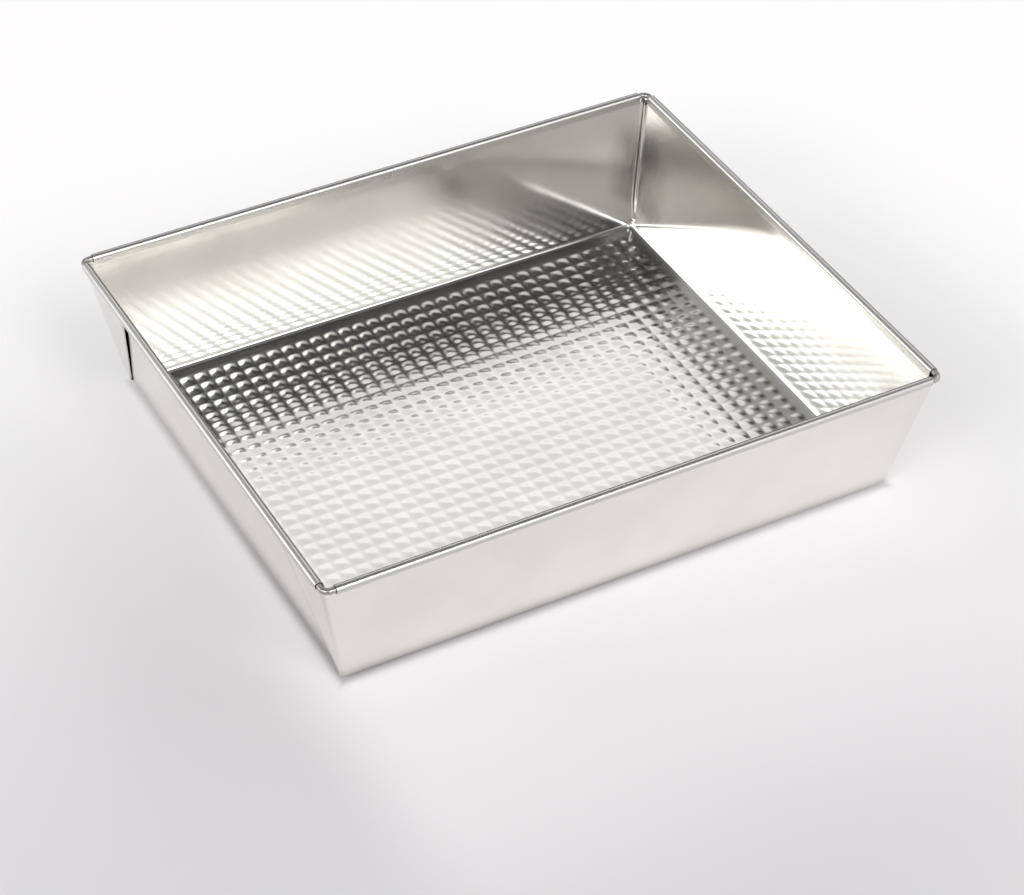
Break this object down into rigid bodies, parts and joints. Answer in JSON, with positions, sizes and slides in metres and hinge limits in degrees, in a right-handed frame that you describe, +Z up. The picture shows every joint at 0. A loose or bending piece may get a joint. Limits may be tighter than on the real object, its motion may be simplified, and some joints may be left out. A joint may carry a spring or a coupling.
{
  "type": "cake pan",
  "caption": "Rectangular bright tinplate cake pan with flared walls, folded corner gussets, a finely embossed floor and a rim rolled over a steel wire, for baking sheet cakes.",
  "frame": {"origin": "centre of the pan's footprint, on the surface that it stands on", "axes": "+X along the long side, +Y across, +Z up out of the mouth"},
  "size_m": [0.3, 0.256, 0.0674],
  "materials": {
    "tinplate": "bright tinplate",
    "steel_wire": "drawn wire"
  },
  "bodies": {
    "root": {"pan_sheet": "tinplate", "rim_wire": "steel_wire"}
  },
  "joints": []
}
